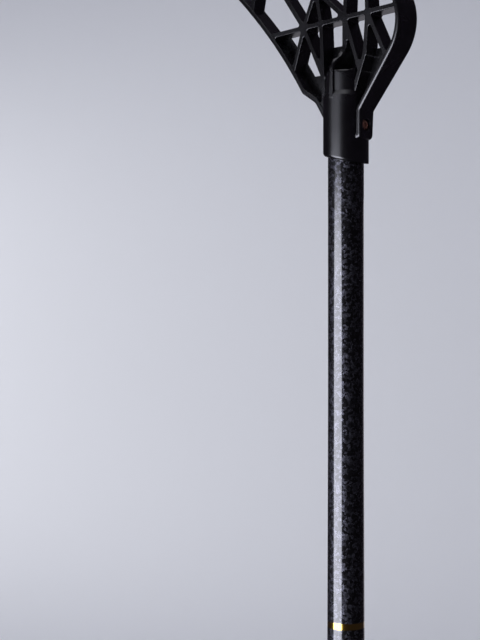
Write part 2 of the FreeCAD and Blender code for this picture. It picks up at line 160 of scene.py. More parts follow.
@dataclass(frozen=True)
class ForgedCarbon:
    """Chopped carbon tape pressed into a tube under lacquer: grey chips on black below a sharp gloss.

    A narrow ring of gold foil lies under the same lacquer.
    """

    name: str = "forged_carbon_clear_coat"
    resin: str = "#070708"
    chip: str = "#4b4b53"
    chip_mm: float = 1.7
    chip_span: Span = (0.4, 0.9)
    warp_mm: float = 2.2
    warp_reach_mm: float = 2.4
    # Carbon fibres are far finer than a pixel, so their strands are drawn as coarse as they need to show.
    strand_mm: float = 0.7
    strand_span: Span = (0.3, 0.6)
    middle: Point = (0.5, 0.5, 0.5)
    tilt: float = 0.2
    ring_z_mm: float = 599.0
    ring_width_mm: float = 4.2
    foil: str = "#b8963a"
    metallic: Span = (0.85, 1.0)
    roughness: Span = (0.5, 0.16)
    ior: float = 1.5
    coat_roughness: float = 0.03

    def build_chips(self, tree: bpy.types.NodeTree,
                    place: bpy.types.NodeSocket) -> tuple[bpy.types.NodeSocket, bpy.types.NodeSocket]:
        """Adds the chips: cells of warped space, each with its own shade and its own slope.

        Args:
            tree: the material's node tree.
            place: Object coordinates.

        Returns:
            The chips' colour and their height.
        """
        warp = add_node(tree, "ShaderNodeTexNoise", {
            "Vector": place, "Scale": 1 / (self.warp_mm * MM), "Detail": 3.0})
        shift = add_node(tree, "ShaderNodeVectorMath", {
            0: warp.outputs["Color"], 1: self.middle}, operation="SUBTRACT")
        moved = add_node(tree, "ShaderNodeVectorMath", {
            0: shift.outputs["Vector"], 1: (self.warp_reach_mm * MM,) * 3,
            2: place}, operation="MULTIPLY_ADD")
        chips = add_node(tree, "ShaderNodeTexVoronoi", {
            "Vector": moved.outputs["Vector"], "Scale": 1 / (self.chip_mm * MM)}, feature="F1")
        shade = add_node(tree, "ShaderNodeSeparateColor", {"Color": chips.outputs["Color"]})
        bright = add_node(tree, "ShaderNodeMapRange", {
            "Value": shade.outputs["Red"], "From Min": self.chip_span[0], "From Max": self.chip_span[1]},
            clamp=True)
        fibre = add_node(tree, "ShaderNodeTexNoise", {
            "Vector": place, "Scale": 1 / (self.strand_mm * MM), "Detail": 2.0})
        strands = add_node(tree, "ShaderNodeMapRange", {
            "Value": fibre.outputs["Fac"], "From Min": self.strand_span[0], "From Max": self.strand_span[1]},
            clamp=True)
        patch = add_node(tree, "ShaderNodeMath", {
            0: bright.outputs["Result"], 1: strands.outputs["Result"]}, operation="MULTIPLY")
        colour = add_node(tree, "ShaderNodeMix", {
            0: patch.outputs["Value"], 6: linear(self.resin), 7: linear(self.chip)}, data_type="RGBA")
        within = add_node(tree, "ShaderNodeVectorMath", {
            0: moved.outputs["Vector"], 1: chips.outputs["Position"]}, operation="SUBTRACT")
        lie = add_node(tree, "ShaderNodeVectorMath", {
            0: chips.outputs["Color"], 1: self.middle}, operation="SUBTRACT")
        slope = add_node(tree, "ShaderNodeVectorMath", {
            0: within.outputs["Vector"], 1: lie.outputs["Vector"]}, operation="DOT_PRODUCT")
        return colour.outputs[2], slope.outputs["Value"]

    def build(self) -> bpy.types.Material:
        """Makes the material: the chips, with smooth foil in their place within the ring's height.

        Returns:
            The material.
        """
        material, tree = new_material(self.name)
        place = add_node(tree, "ShaderNodeTexCoord").outputs["Object"]
        chips, slope = self.build_chips(tree, place)
        height = add_node(tree, "ShaderNodeSeparateXYZ", {"Vector": place}).outputs["Z"]
        ring = add_node(tree, "ShaderNodeMath", {
            0: height, 1: self.ring_z_mm * MM, 2: self.ring_width_mm * MM / 2},
            operation="COMPARE").outputs["Value"]
        colour = add_node(tree, "ShaderNodeMix", {0: ring, 6: chips, 7: linear(self.foil)}, data_type="RGBA")
        metal = add_node(tree, "ShaderNodeMapRange", {
            "Value": ring, "To Min": self.metallic[0], "To Max": self.metallic[1]})
        rough = add_node(tree, "ShaderNodeMapRange", {
            "Value": ring, "To Min": self.roughness[0], "To Max": self.roughness[1]})
        relief = add_node(tree, "ShaderNodeMapRange", {"Value": ring, "To Min": self.tilt, "To Max": 0.0})
        bump = add_node(tree, "ShaderNodeBump", {
            "Height": slope, "Strength": relief.outputs["Result"], "Distance": 1.0})
        shader = add_node(tree, "ShaderNodeBsdfPrincipled", {
            "Base Color": colour.outputs[2], "Metallic": metal.outputs["Result"],
            "Roughness": rough.outputs["Result"], "Normal": bump.outputs["Normal"], "IOR": self.ior,
            "Coat Weight": 1.0, "Coat Roughness": self.coat_roughness, "Coat IOR": self.ior})
        add_node(tree, "ShaderNodeOutputMaterial", {"Surface": shader.outputs["BSDF"]})
        return material


@dataclass(frozen=True)
class PlatedSteel:
    """Zinc-plated and passivated steel: a warm brown metal that the bath left unevenly bright."""

    name: str = "passivated_steel"
    tone: str = "#b98674"
    stain_mm: float = 0.8
    metallic: float = 0.8
    roughness: Span = (0.15, 0.35)

    def build(self) -> bpy.types.Material:
        """Makes the material: noise sets the gloss.

        Returns:
            The material.
        """
        material, tree = new_material(self.name)
        place = add_node(tree, "ShaderNodeTexCoord").outputs["Object"]
        stain = add_node(tree, "ShaderNodeTexNoise", {
            "Vector": place, "Scale": 1 / (self.stain_mm * MM), "Detail": 3.0})
        rough = add_node(tree, "ShaderNodeMapRange", {
            "Value": stain.outputs["Fac"], "To Min": self.roughness[0], "To Max": self.roughness[1]})
        shader = add_node(tree, "ShaderNodeBsdfPrincipled", {
            "Base Color": linear(self.tone), "Metallic": self.metallic, "Roughness": rough.outputs["Result"]})
        add_node(tree, "ShaderNodeOutputMaterial", {"Surface": shader.outputs["BSDF"]})
        return material


@dataclass(frozen=True)
class PerforatedPolyurethane:
    """Foamed polyurethane strip with punched holes: dull black, a little leathery, with rows of dimples."""

    name: str = "perforated_polyurethane_black"
    tone: str = "#161619"
    worn: str = "#222226"
    wear_mm: float = 40.0
    # Painted shade: the punched holes are painted near black, which stands for the shade inside them over the
    # dark layer beneath.
    hole_shade: str = "#030303"
    hole_middle: Point = (0.5, 0.5, 0.0)
    hole_share: Span = (0.12, 0.19)
    hole_depth_mm: float = 0.5
    leather_mm: float = 1.1
    leather_softness: float = 0.6
    leather_share: float = 0.25
    strength: float = 0.6
    roughness: float = 0.62
    ior: float = 1.5

    def build(self) -> bpy.types.Material:
        """Makes the material: a punched opening in the middle of each unit square of the strip's own UV,
        painted near black as the shade inside it, over the dark layer beneath.

        Returns:
            The material.
        """
        material, tree = new_material(self.name)
        place = add_node(tree, "ShaderNodeTexCoord").outputs["Object"]
        strip = add_node(tree, "ShaderNodeUVMap", uv_map="strip").outputs["UV"]
        cell = add_node(tree, "ShaderNodeVectorMath", {0: strip}, operation="FRACTION")
        centred = add_node(tree, "ShaderNodeVectorMath", {
            0: cell.outputs["Vector"], 1: self.hole_middle}, operation="SUBTRACT")
        distance = add_node(tree, "ShaderNodeVectorMath", {
            0: centred.outputs["Vector"]}, operation="LENGTH")
        land = add_node(tree, "ShaderNodeMapRange", {
            "Value": distance.outputs["Value"],
            "From Min": self.hole_share[0], "From Max": self.hole_share[1]}, interpolation_type="SMOOTHSTEP")
        leather = add_node(tree, "ShaderNodeTexVoronoi", {
            "Vector": place, "Scale": 1 / (self.leather_mm * MM),
            "Smoothness": self.leather_softness}, feature="SMOOTH_F1")
        wear = add_node(tree, "ShaderNodeTexNoise", {
            "Vector": place, "Scale": 1 / (self.wear_mm * MM), "Detail": 4.0})
        skin = add_node(tree, "ShaderNodeMix", {
            0: wear.outputs["Fac"], 6: linear(self.tone), 7: linear(self.worn)}, data_type="RGBA")
        colour = add_node(tree, "ShaderNodeMix", {
            0: land.outputs["Result"], 6: linear(self.hole_shade), 7: skin.outputs[2]}, data_type="RGBA")
        height = add_node(tree, "ShaderNodeMath", {
            0: leather.outputs["Distance"], 1: self.leather_share,
            2: land.outputs["Result"]}, operation="MULTIPLY_ADD")
        bump = add_node(tree, "ShaderNodeBump", {
            "Height": height.outputs["Value"], "Strength": self.strength,
            "Distance": self.hole_depth_mm * MM})
        shader = add_node(tree, "ShaderNodeBsdfPrincipled", {
            "Base Color": colour.outputs[2], "Roughness": self.roughness, "IOR": self.ior,
            "Normal": bump.outputs["Normal"]})
        add_node(tree, "ShaderNodeOutputMaterial", {"Surface": shader.outputs["BSDF"]})
        return material


@dataclass(frozen=True)
class VinylTape:
    """Stretched PVC tape: smooth near-black film, half glossy, with faint stretch lines round the handle."""

    name: str = "stretched_vinyl_tape"
    tone: str = "#0d0d10"
    light: str = "#17171b"
    line_mm: float = 1.6
    line_draw: Point = (0.12, 0.12, 1.0)
    line_depth_mm: float = 0.08
    line_strength: float = 0.3
    roughness: Span = (0.2, 0.42)
    ior: float = 1.53

    def build(self) -> bpy.types.Material:
        """Makes the material: noise that is drawn out level sets colour, gloss and relief.

        Returns:
            The material.
        """
        material, tree = new_material(self.name)
        place = add_node(tree, "ShaderNodeTexCoord").outputs["Object"]
        drawn = add_node(tree, "ShaderNodeVectorMath", {0: place, 1: self.line_draw}, operation="MULTIPLY")
        lines = add_node(tree, "ShaderNodeTexNoise", {
            "Vector": drawn.outputs["Vector"], "Scale": 1 / (self.line_mm * MM), "Detail": 3.0})
        colour = add_node(tree, "ShaderNodeMix", {
            0: lines.outputs["Fac"], 6: linear(self.tone), 7: linear(self.light)}, data_type="RGBA")
        rough = add_node(tree, "ShaderNodeMapRange", {
            "Value": lines.outputs["Fac"], "To Min": self.roughness[0], "To Max": self.roughness[1]})
        bump = add_node(tree, "ShaderNodeBump", {
            "Height": lines.outputs["Fac"], "Strength": self.line_strength,
            "Distance": self.line_depth_mm * MM})
        shader = add_node(tree, "ShaderNodeBsdfPrincipled", {
            "Base Color": colour.outputs[2], "Roughness": rough.outputs["Result"], "IOR": self.ior,
            "Normal": bump.outputs["Normal"]})
        add_node(tree, "ShaderNodeOutputMaterial", {"Surface": shader.outputs["BSDF"]})
        return material


@dataclass(frozen=True)
class MouldedRubber:
    """Moulded rubber with a spark-eroded skin: matt black-grey, scuffed lighter in patches."""

    name: str = "moulded_rubber_black"
    tone: str = "#121214"
    scuff: str = "#26262a"
    scuff_mm: float = 9.0
    # Eroded grain is finer than a pixel, so it is drawn as coarse as it needs to show.
    grain_mm: float = 0.7
    grain_depth_mm: float = 0.1
    grain_strength: float = 0.4
    roughness: float = 0.55
    ior: float = 1.52

    def build(self) -> bpy.types.Material:
        """Makes the material: slow noise sets the colour, fine noise raises the grain.

        Returns:
            The material.
        """
        material, tree = new_material(self.name)
        place = add_node(tree, "ShaderNodeTexCoord").outputs["Object"]
        scuffs = add_node(tree, "ShaderNodeTexNoise", {
            "Vector": place, "Scale": 1 / (self.scuff_mm * MM), "Detail": 6.0})
        grain = add_node(tree, "ShaderNodeTexNoise", {
            "Vector": place, "Scale": 1 / (self.grain_mm * MM), "Detail": 2.0})
        colour = add_node(tree, "ShaderNodeMix", {
            0: scuffs.outputs["Fac"], 6: linear(self.tone), 7: linear(self.scuff)}, data_type="RGBA")
        bump = add_node(tree, "ShaderNodeBump", {
            "Height": grain.outputs["Fac"], "Strength": self.grain_strength,
            "Distance": self.grain_depth_mm * MM})
        shader = add_node(tree, "ShaderNodeBsdfPrincipled", {
            "Base Color": colour.outputs[2], "Roughness": self.roughness, "IOR": self.ior,
            "Normal": bump.outputs["Normal"]})
        add_node(tree, "ShaderNodeOutputMaterial", {"Surface": shader.outputs["BSDF"]})
        return material


@dataclass(frozen=True)
class DiffusionCloth:
    """Lit nylon cloth of a softbox: an even white glow that fades towards its sewn edge and round corners."""

    name: str = "lit_diffusion_cloth"
    tint: str = "#eef0ff"
    radiance: float = 11.4
    corner_m: float = 0.22
    seam_m: float = 0.09

    def build(self, half_width: float, half_height: float) -> bpy.types.Material:
        """Makes the material: the glow falls with the distance from a rounded rectangle, in metres of UV.

        Args:
            half_width: half the cloth's width in metres.
            half_height: half its height.

        Returns:
            The material.
        """
        material, tree = new_material(self.name)
        cloth = add_node(tree, "ShaderNodeUVMap", uv_map="cloth").outputs["UV"]
        size = add_node(tree, "ShaderNodeVectorMath", {0: cloth}, operation="ABSOLUTE")
        inner = (half_width - self.corner_m, half_height - self.corner_m, 0.0)
        past = add_node(tree, "ShaderNodeVectorMath", {
            0: size.outputs["Vector"], 1: inner}, operation="SUBTRACT")
        outside = add_node(tree, "ShaderNodeVectorMath", {
            0: past.outputs["Vector"], 1: (0.0, 0.0, 0.0)}, operation="MAXIMUM")
        distance = add_node(tree, "ShaderNodeVectorMath", {
            0: outside.outputs["Vector"]}, operation="LENGTH")
        level = add_node(tree, "ShaderNodeMapRange", {
            "Value": distance.outputs["Value"], "From Min": self.corner_m - self.seam_m,
            "From Max": self.corner_m + self.seam_m, "To Min": self.radiance, "To Max": 0.0},
            interpolation_type="SMOOTHSTEP")
        glow = add_node(tree, "ShaderNodeEmission", {
            "Color": linear(self.tint), "Strength": level.outputs["Result"]})
        add_node(tree, "ShaderNodeOutputMaterial", {"Surface": glow.outputs["Emission"]})
        return material


@dataclass(frozen=True)
class PaintedCove:
    """Matt emulsion paint on a studio cove: pale, slightly cool grey."""

    name: str = "emulsion_paint_pale_grey"
    tone: str = "#e4e5e8"
    roughness: float = 0.9

    def build(self) -> bpy.types.Material:
        """Makes the material: one even colour without gloss.

        Returns:
            The material.
        """
        material, tree = new_material(self.name)
        shader = add_node(tree, "ShaderNodeBsdfPrincipled", {
            "Base Color": linear(self.tone), "Roughness": self.roughness, "Specular IOR Level": 0.0})
        add_node(tree, "ShaderNodeOutputMaterial", {"Surface": shader.outputs["BSDF"]})
        return material


def smooth_step(value: np.ndarray) -> np.ndarray:
    """Rises from 0 to 1 with level ends: 3 v^2 - 2 v^3 for v held between 0 and 1.

    Args:
        value: where along the rise.

    Returns:
        How far it has risen.
    """
    share = np.clip(value, 0, 1)
    return share**2 * (3 - 2 * share)


def quarter_round(centre: float, radius: float, points: int) -> np.ndarray:
    """Profile of a quarter circle that starts level and ends upright: c + R sin b out, R (1 - cos b) up.

    Args:
        centre: how far the circle's centre is from the axis.
        radius: the circle's radius.
        points: number of points.

    Returns:
        Radii and heights, one row each.
    """
    bend = np.linspace(0, np.pi / 2, points)
    return np.stack([centre + radius * np.sin(bend), radius * (1 - np.cos(bend))], axis=-1)


def about_z(radius: np.ndarray, angle: np.ndarray, height: np.ndarray) -> np.ndarray:
    """Points of a grid of rings about Z: x = r cos a, y = r sin a, z = h.

    Args:
        radius: radii, which spread over the grid as the other two do.
        angle: angles from X.
        height: heights.

    Returns:
        The points, ring after ring.
    """
    grid = np.broadcast_arrays(radius * np.cos(angle), radius * np.sin(angle), height)
    return np.stack(grid, axis=-1).reshape(-1, 3)


def lathe(profile: np.ndarray, columns: int) -> np.ndarray:
    """Surface of revolution: each radius and height of a profile goes once round Z.

    Args:
        profile: radii and heights in metres, one row each.
        columns: points to a turn.

    Returns:
        The points, ring after ring.
    """
    angle = np.linspace(0, 2 * np.pi, columns, endpoint=False)
    return about_z(profile[:, :1], angle, profile[:, 1:])


def ring_faces(rows: int, columns: int, joined: bool = False,
               filled: tuple[int, ...] = ()) -> list[list[int]]:
    """Faces of rings of points: a quad between each two neighbours, whose columns close in a ring.

    Args:
        rows: number of rings.
        columns: points of each ring.
        joined: whether the last ring is joined to the first.
        filled: ends that get one flat face, 0 for the first ring and -1 for the last.

    Returns:
        Corner indices of each face, which wind outwards where the rings rise.
    """
    row, column = np.meshgrid(np.arange(rows if joined else rows - 1), np.arange(columns), indexing="ij")
    next_row = (row + 1) % rows
    next_column = (column + 1) % columns
    corners = [row * columns + column, row * columns + next_column,
               next_row * columns + next_column, next_row * columns + column]
    faces = np.stack(corners, axis=-1).reshape(-1, 4).tolist()
    ring = np.arange(columns)
    ends = {0: ring[::-1], -1: ring + (rows - 1) * columns}
    return faces + [ends[end].tolist() for end in filled]


def link_smooth(name: str, mesh: bpy.types.Mesh) -> bpy.types.Object:
    """Puts a mesh into a smooth-shaded object at the origin.

    Args:
        name: the object's name.
        mesh: its mesh.

    Returns:
        The linked object.
    """
    mesh.polygons.foreach_set("use_smooth", np.ones(len(mesh.polygons), dtype=bool))
    mesh.update()
    obj = bpy.data.objects.new(name, mesh)
    bpy.context.collection.objects.link(obj)
    return obj


def place_mesh(name: str, points: np.ndarray, faces: list[list[int]]) -> bpy.types.Object:
    """Makes an object of points and faces, smooth but for edges that turn more than CREASE.

    Args:
        name: the object's name.
        points: corner positions in metres.
        faces: corner indices of each face.

    Returns:
        The linked object.
    """
    mesh = bpy.data.meshes.new(name)
    mesh.from_pydata(points.tolist(), [], faces)
    obj = link_smooth(name, mesh)
    mesh.set_sharp_from_angle(angle=CREASE)
    return obj


def seat(obj: bpy.types.Object, material: bpy.types.Material, node: str) -> None:
    """Dresses a piece and lets it stand for its CAD node.

    Args:
        obj: the finished piece.
        material: its finish.
        node: the CAD node that it replaces.
    """
    obj.data.materials.append(material)
    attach(obj, BODY)
    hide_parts(node)
    log.info("%s stands for %s: %d faces", obj.name, node, len(obj.data.polygons))


@dataclass
class CadSurface:
    """The surface of a CAD node, as it is before any rounding."""

    node: str
    mesh: bpy.types.Mesh = field(init=False)
    tree: BVHTree = field(init=False)

    def __post_init__(self) -> None:
        """Takes the node's mesh from the imported CAD parts and sorts its faces for searching."""
        self.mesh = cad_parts[self.node].data
        corners = [vertex.co for vertex in self.mesh.vertices]
        self.tree = BVHTree.FromPolygons(corners, [polygon.vertices for polygon in self.mesh.polygons])

    def distance(self, point: Vector) -> float:
        """How far a point is from the surface, in metres."""
        return self.tree.find_nearest(point)[3]

    def smooth_normal(self, point: Vector) -> Vector:
        """The node's own shading normal at the place nearest to a point.

        The normals at the corners of the face there count by how near the place is to each of them.

        Args:
            point: any point.

        Returns:
            The normal.
        """
        spot, _, index, _ = self.tree.find_nearest(point)
        polygon = self.mesh.polygons[index]
        shares = poly_3d_calc([self.mesh.vertices[i].co for i in polygon.vertices], spot)
        normals = [self.mesh.corner_normals[i].vector for i in polygon.loop_indices]
        return sum((normal * share for normal, share in zip(normals, shares)), Vector())


@dataclass
class Blade:
    """The moulding and its screw: the CAD solids with small radii on their outward edges."""

    outer_edge_mm: float = 2.1
    outer_rows: int = 4
    rib_edge_mm: float = 0.45
    screw_edge_mm: float = 0.18
    inner_rows: int = 2
    merge_mm: float = 0.001
    # Turns between faces: past sharp an edge is rounded, below flat the faces are one plane, and within
    # row_turn the rows of a rounding shade as one. No rounding fits at an angle below steep.
    sharp: float = math.radians(33)
    flat: float = math.radians(1.0)
    row_turn: float = math.radians(48)
    steep: float = math.radians(40)
    # An outer front edge faces forwards and has room_mm of wall on both sides, which is met within
    # room_gap_mm. A ray that starts lift_mm off that wall runs free for reach_mm.
    front_y: float = -0.3
    room_mm: float = 2.0
    room_gap_mm: float = 0.1
    lift_mm: float = 0.3
    reach_mm: float = 80.0
    # The bevel tool calls a circle arc_profile. A new point may sink by sink_share of the width, and past
    # far_mm it counts as thrown off.
    arc_profile: float = 0.5
    sink_share: float = 0.4
    far_mm: float = 1.6
    # Cosines to the CAD surface: below folded a triangle is turned, above parallel and within touch_mm it
    # lies on that surface. Others weigh only faint beside it. Normals are read at inside_share of the way
    # from a corner to the triangle's middle.
    folded: float = -0.2
    parallel: float = 0.999
    touch_mm: float = 0.005
    faint: float = 1e-4
    inside_share: float = 0.02
    plastic: MouldedPolyethylene = field(default_factory=MouldedPolyethylene)
    steel: PlatedSteel = field(default_factory=PlatedSteel)

    def sharp_edges(self, solid: bmesh.types.BMesh) -> list[bmesh.types.BMEdge]:
        """Edges between two faces at which the solid turns sharply."""
        return [edge for edge in solid.edges if edge.calc_face_angle(0.0) > self.sharp]

    def steepness(self, edge: bmesh.types.BMEdge, sharp: set[bmesh.types.BMEdge]) -> float:
        """Smallest angle between an edge and the sharp edges at its ends.

        Args:
            edge: an edge of the solid.
            sharp: all its sharp edges.

        Returns:
            The angle, or half a turn where there is no sharp edge.
        """
        pairs = [(edge.other_vert(end).co - end.co, side.other_vert(end).co - end.co)
                 for end in edge.verts for side in end.link_edges if side in sharp]
        return min((run.angle(side) for run, side in pairs), default=math.pi)

    def join_flats(self, solid: bmesh.types.BMesh) -> None:
        """Joins flat triangles across edges that leave a sharp edge at too shallow an angle for rounding.

        Args:
            solid: the merged solid.
        """
        sharp = set(self.sharp_edges(solid))
        flat = [edge for edge in solid.edges if edge.calc_face_angle() < self.flat]
        shallow = [edge for edge in flat if self.steepness(edge, sharp) < self.steep]
        bmesh.ops.dissolve_limit(solid, angle_limit=self.flat, verts=[], edges=shallow)
        solid.normal_update()

    def is_outer(self, edge: bmesh.types.BMEdge, surface: CadSurface) -> bool:
        """Whether an edge lies on the front of the outline, with room on its faces and nothing before them.

        Args:
            edge: a sharp edge of the merged solid.
            surface: the solid's surface.

        Returns:
            True for an outer front edge.
        """
        one, other = (face.normal for face in edge.link_faces)
        if not edge.is_convex or (one + other).y > self.front_y:
            return False
        middle = (edge.verts[0].co + edge.verts[1].co) / 2
        for ahead, beside in ((one, other), (other, one)):
            foot = middle - self.room_mm * MM * (beside - beside.project(ahead))
            if surface.distance(foot) > self.room_gap_mm * MM:
                return False
            start = foot + self.lift_mm * MM * ahead
            if surface.tree.ray_cast(start, ahead - ahead.project(beside), self.reach_mm * MM)[0]:
                return False
        return True

    def round_off(self, solid: bmesh.types.BMesh, edges: list[bmesh.types.BMEdge], width_mm: float,
                  rows: int, surface: CadSurface) -> int:
        """Replaces edges by strips of a quarter round.

        New points that come to lie outside the surface, or deeper than a quarter round goes, are put back
        to the nearest place on it. A point that is thrown off goes to the neighbour that lies best.

        Args:
            solid: the solid.
            edges: the edges that are rounded.
            width_mm: how far the rounding reaches on each side.
            rows: faces across the rounding.
            surface: the surface before rounding.

        Returns:
            How many points were put back.
        """
        made = bmesh.ops.bevel(
            solid, geom=edges, offset=width_mm * MM, offset_type="OFFSET", segments=rows,
            profile=self.arc_profile, affect="EDGES", clamp_overlap=False)
        moved = 0
        for corner in made["verts"]:
            spot, normal, _, distance = surface.tree.find_nearest(corner.co)
            allowed = 0.0 if (corner.co - spot).dot(normal) > 0 else self.sink_share * width_mm * MM
            if distance > self.far_mm * MM:
                spot = min((edge.other_vert(corner).co for edge in corner.link_edges), key=surface.distance)
            if distance > allowed:
                corner.co = spot
                moved += 1
        solid.normal_update()
        return moved

    def unfold(self, solid: bmesh.types.BMesh, surface: CadSurface) -> set[bmesh.types.BMFace]:
        """Splits a solid into triangles and turns those that a rounding folded over.

        Args:
            solid: the rounded solid.
            surface: the surface before rounding.

        Returns:
            The triangles that still lie on that surface.
        """
        bmesh.ops.triangulate(solid, faces=solid.faces)
        solid.normal_update()
        on_cad = set()
        for face in solid.faces:
            _, normal, _, gap = surface.tree.find_nearest(face.calc_center_median())
            if normal.dot(face.normal) < self.folded:
                face.normal_flip()
            if normal.dot(face.normal) > self.parallel and gap < self.touch_mm * MM:
                on_cad.add(face)
        return on_cad

    def shade(self, solid: bmesh.types.BMesh, surface: CadSurface,
              on_cad: set[bmesh.types.BMFace]) -> list[Vector]:
        """Works out the shading, and marks the edges that stay sharp in it.

        Triangles on the CAD surface keep its own smooth normals. On a rounding, a corner's normal is the
        mean, by angle, of the triangles around it that turn little, and those on the CAD surface outweigh
        the others.

        Args:
            solid: the rounded solid, in triangles.
            surface: the surface before rounding.
            on_cad: the triangles that lie on that surface.

        Returns:
            One normal for each corner of the triangles.
        """
        pull: dict[bmesh.types.BMLoop, Vector] = {}
        for face in solid.faces:
            centre = face.calc_center_median()
            for loop in face.loops:
                if face in on_cad:
                    inside = loop.vert.co.lerp(centre, self.inside_share)
                    pull[loop] = surface.smooth_normal(inside) * loop.calc_angle()
                else:
                    pull[loop] = face.normal * (self.faint * loop.calc_angle())
        normals = []
        for face in solid.faces:
            for corner in face.loops:
                near = [corner] if face in on_cad else [
                    loop for loop in corner.vert.link_loops
                    if face.normal.dot(loop.face.normal) > math.cos(self.row_turn)]
                normals.append(sum((pull[loop] for loop in near), Vector()).normalized())
        for edge in solid.edges:
            edge.smooth = edge.is_contiguous and edge.calc_face_angle(0.0) < self.sharp
        return normals

    def eased(self, node: str, name: str, outer_mm: float, inner_mm: float) -> bpy.types.Object:
        """Copies a CAD solid and rounds its sharp edges.

        Outer front edges are rounded first and wider, all other outward edges after them; inward ones stay
        crisp.

        Args:
            node: the CAD node.
            name: the new piece's name.
            outer_mm: how wide the rounding is on outer front edges.
            inner_mm: how wide it is on the other edges.

        Returns:
            The new piece.
        """
        surface = CadSurface(node)
        solid = bmesh.new()
        solid.from_mesh(surface.mesh)
        bmesh.ops.remove_doubles(solid, verts=solid.verts, dist=self.merge_mm * MM)
        solid.normal_update()
        self.join_flats(solid)
        outer = [edge for edge in self.sharp_edges(solid) if self.is_outer(edge, surface)]
        moved = self.round_off(solid, outer, outer_mm, self.outer_rows, surface)
        others = [edge for edge in self.sharp_edges(solid) if edge.is_convex]
        moved += self.round_off(solid, others, inner_mm, self.inner_rows, surface)
        normals = self.shade(solid, surface, self.unfold(solid, surface))
        mesh = bpy.data.meshes.new(name)
        solid.to_mesh(mesh)
        solid.free()
        obj = link_smooth(name, mesh)
        mesh.normals_split_custom_set(normals)
        log.info("%s: %d outer edges, %d others, %d points put back", name, len(outer), len(others), moved)
        return obj

    def build(self) -> None:
        """Makes both pieces."""
        blade = self.eased("blade", "blade_moulding", self.outer_edge_mm, self.rib_edge_mm)
        seat(blade, self.plastic.build(), "blade")
        screw = self.eased("blade_screw", "blade_screw_head", self.screw_edge_mm, self.screw_edge_mm)
        seat(screw, self.steel.build(), "blade_screw")


@dataclass
class Shaft:
    """The tube: straight at the tip, tapered, then straight at the handle, with a bore of even wall."""

    bottom_mm: float = 5.0
    taper_mm: Span = (345.0, 745.0)
    top_mm: float = 965.0
    handle_mm: float = 13.25
    tip_mm: float = 12.0
    wall_mm: float = 1.3
    columns: int = 160
    carbon: ForgedCarbon = field(default_factory=ForgedCarbon)

    def build(self) -> None:
        """Makes the tube: the outline of its wall turned about Z."""
        low, high = self.taper_mm
        handle, tip, wall = self.handle_mm, self.tip_mm, self.wall_mm
        profile = np.array([
            (handle, self.bottom_mm), (handle, low), (tip, high), (tip, self.top_mm),
            (tip - wall, self.top_mm), (tip - wall, high),
            (handle - wall, low), (handle - wall, self.bottom_mm)])
        faces = ring_faces(len(profile), self.columns, joined=True)
        obj = place_mesh("shaft_tube", lathe(profile * MM, self.columns), faces)
        seat(obj, self.carbon.build(), "shaft")


